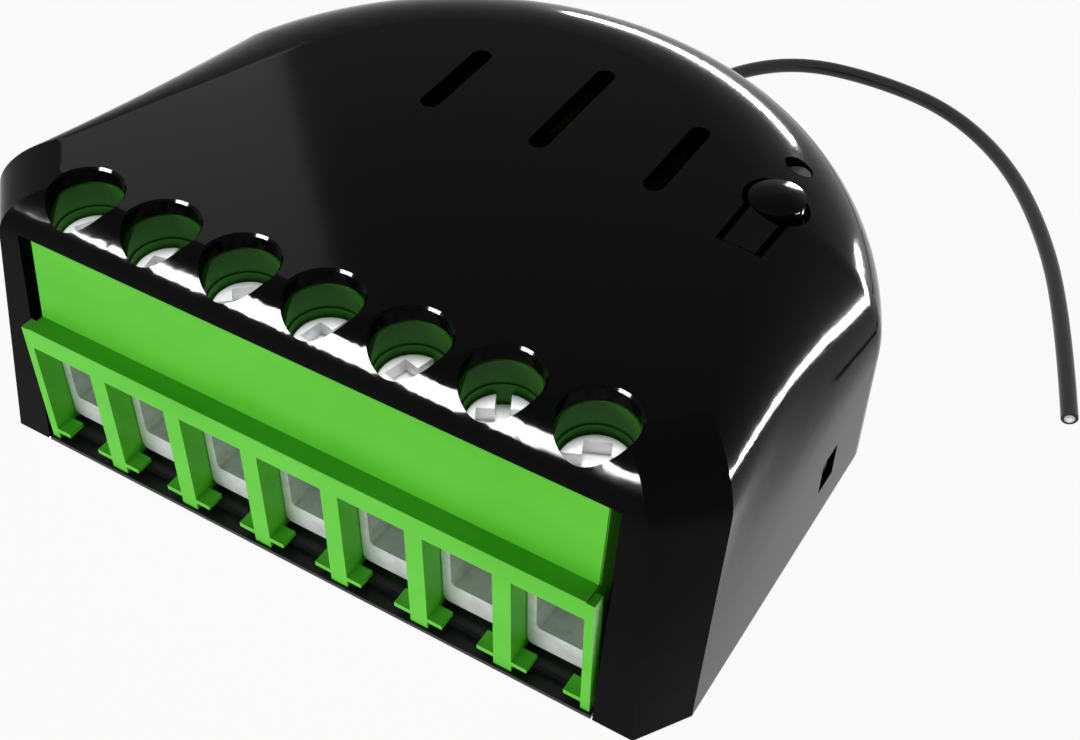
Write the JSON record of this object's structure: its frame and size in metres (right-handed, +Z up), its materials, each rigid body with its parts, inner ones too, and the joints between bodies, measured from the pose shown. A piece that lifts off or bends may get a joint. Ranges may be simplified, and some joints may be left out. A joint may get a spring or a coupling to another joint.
{
  "type": "smart relay module",
  "caption": "Small black relay module for a wall box: rounded housing, green screw terminal row, press button, status light, vents and a short wire antenna.",
  "frame": {"origin": "middle of the housing's underside", "axes": "+X along the terminal row, +Y from the terminals to the rear, +Z up through the screw holes"},
  "size_m": [0.0538, 0.0579, 0.0163],
  "materials": {
    "housing_black": "satin black moulding",
    "cover_black": "satin black moulding",
    "terminal_green": "glossy green moulding",
    "board_green": "solder mask",
    "inner_black": "moulded",
    "relay_case": "moulded",
    "varistor_coat": "dipped",
    "capacitor_sleeve": "sleeved",
    "film_case": "potted",
    "ferrite": "sintered",
    "winding_copper": "enamelled wire",
    "resistor_body": "coated",
    "tinned_metal": "tinned",
    "led_white": "clear lens",
    "light_pipe": "clear",
    "wire_black": "insulated wire",
    "contact_tinned": "tinned copper",
    "screw_steel": "nickel plated",
    "cage_steel": "nickel plated"
  },
  "bodies": {
    "module_case": {"top_housing": "housing_black", "bottom_cover": "cover_black", "terminal_block_body": "terminal_green", "contact_bars": "contact_tinned", "antenna_wire": "wire_black", "main_circuit_board": "board_green", "control_board": "board_green", "board_header": "inner_black", "relay_left": "relay_case", "relay_right": "relay_case", "surge_varistor": "varistor_coat", "supply_capacitor": "capacitor_sleeve", "filter_capacitor": "film_case", "transformer_core": "ferrite", "transformer_winding": "winding_copper", "fuse_resistor": "resistor_body", "bridge_rectifier": "inner_black", "supply_chip": "inner_black", "radio_chip": "inner_black", "radio_crystal": "tinned_metal", "switch_body": "tinned_metal", "status_led": "led_white", "light_pipe": "light_pipe", "antenna_lead_inside": "wire_black"},
    "screw_1": {"terminal_screw_1": "screw_steel"},
    "cage_1": {"clamp_cage_1": "cage_steel"},
    "screw_2": {"terminal_screw_2": "screw_steel"},
    "cage_2": {"clamp_cage_2": "cage_steel"},
    "screw_3": {"terminal_screw_3": "screw_steel"},
    "cage_3": {"clamp_cage_3": "cage_steel"},
    "screw_4": {"terminal_screw_4": "screw_steel"},
    "cage_4": {"clamp_cage_4": "cage_steel"},
    "screw_5": {"terminal_screw_5": "screw_steel"},
    "cage_5": {"clamp_cage_5": "cage_steel"},
    "screw_6": {"terminal_screw_6": "screw_steel"},
    "cage_6": {"clamp_cage_6": "cage_steel"},
    "screw_7": {"terminal_screw_7": "screw_steel"},
    "cage_7": {"clamp_cage_7": "cage_steel"},
    "button": {"reset_button": "housing_black"},
    "plunger": {"switch_plunger": "inner_black"}
  },
  "joints": [
    {"name": "screw_turn_1", "type": "hinge", "parent": "module_case", "child": "screw_1", "pos_m": [-0.015, -0.01505, 0], "axis": [0, 0, 1], "range_deg": [-1601, 0]},
    {"name": "cage_rise_1", "type": "slide", "parent": "module_case", "child": "cage_1", "axis": [0, 0, 1], "range_m": [0, 0.002]},
    {"name": "screw_turn_2", "type": "hinge", "parent": "module_case", "child": "screw_2", "pos_m": [-0.01, -0.01505, 0], "axis": [0, 0, 1], "range_deg": [-1601, 0]},
    {"name": "cage_rise_2", "type": "slide", "parent": "module_case", "child": "cage_2", "axis": [0, 0, 1], "range_m": [0, 0.002]},
    {"name": "screw_turn_3", "type": "hinge", "parent": "module_case", "child": "screw_3", "pos_m": [-0.005, -0.01505, 0], "axis": [0, 0, 1], "range_deg": [-1601, 0]},
    {"name": "cage_rise_3", "type": "slide", "parent": "module_case", "child": "cage_3", "axis": [0, 0, 1], "range_m": [0, 0.002]},
    {"name": "screw_turn_4", "type": "hinge", "parent": "module_case", "child": "screw_4", "pos_m": [0, -0.01505, 0], "axis": [0, 0, 1], "range_deg": [-1601, 0]},
    {"name": "cage_rise_4", "type": "slide", "parent": "module_case", "child": "cage_4", "axis": [0, 0, 1], "range_m": [0, 0.002]},
    {"name": "screw_turn_5", "type": "hinge", "parent": "module_case", "child": "screw_5", "pos_m": [0.005, -0.01505, 0], "axis": [0, 0, 1], "range_deg": [-1601, 0]},
    {"name": "cage_rise_5", "type": "slide", "parent": "module_case", "child": "cage_5", "axis": [0, 0, 1], "range_m": [0, 0.002]},
    {"name": "screw_turn_6", "type": "hinge", "parent": "module_case", "child": "screw_6", "pos_m": [0.01, -0.01505, 0], "axis": [0, 0, 1], "range_deg": [-1601, 0]},
    {"name": "cage_rise_6", "type": "slide", "parent": "module_case", "child": "cage_6", "axis": [0, 0, 1], "range_m": [0, 0.002]},
    {"name": "screw_turn_7", "type": "hinge", "parent": "module_case", "child": "screw_7", "pos_m": [0.015, -0.01505, 0], "axis": [0, 0, 1], "range_deg": [-1601, 0]},
    {"name": "cage_rise_7", "type": "slide", "parent": "module_case", "child": "cage_7", "axis": [0, 0, 1], "range_m": [0, 0.002]},
    {"name": "button_press", "type": "hinge", "parent": "module_case", "child": "button", "pos_m": [0.0151, -0.0013, 0.01555], "axis": [1, 0, 0], "range_deg": [-3.2, 0]},
    {"name": "plunger_press", "type": "slide", "parent": "module_case", "child": "plunger", "axis": [0, 0, 1], "range_m": [-0.00025, 0], "stiffness_N_per_m": 1000}
  ],
  "couplings": [
    {"joint": "screw_turn_1", "follows": "cage_rise_1", "rad_per_m": -13963},
    {"joint": "screw_turn_2", "follows": "cage_rise_2", "rad_per_m": -13963},
    {"joint": "screw_turn_3", "follows": "cage_rise_3", "rad_per_m": -13963},
    {"joint": "screw_turn_4", "follows": "cage_rise_4", "rad_per_m": -13963},
    {"joint": "screw_turn_5", "follows": "cage_rise_5", "rad_per_m": -13963},
    {"joint": "screw_turn_6", "follows": "cage_rise_6", "rad_per_m": -13963},
    {"joint": "screw_turn_7", "follows": "cage_rise_7", "rad_per_m": -13963},
    {"joint": "button_press", "follows": "plunger_press", "rad_per_m": 222.22}
  ]
}
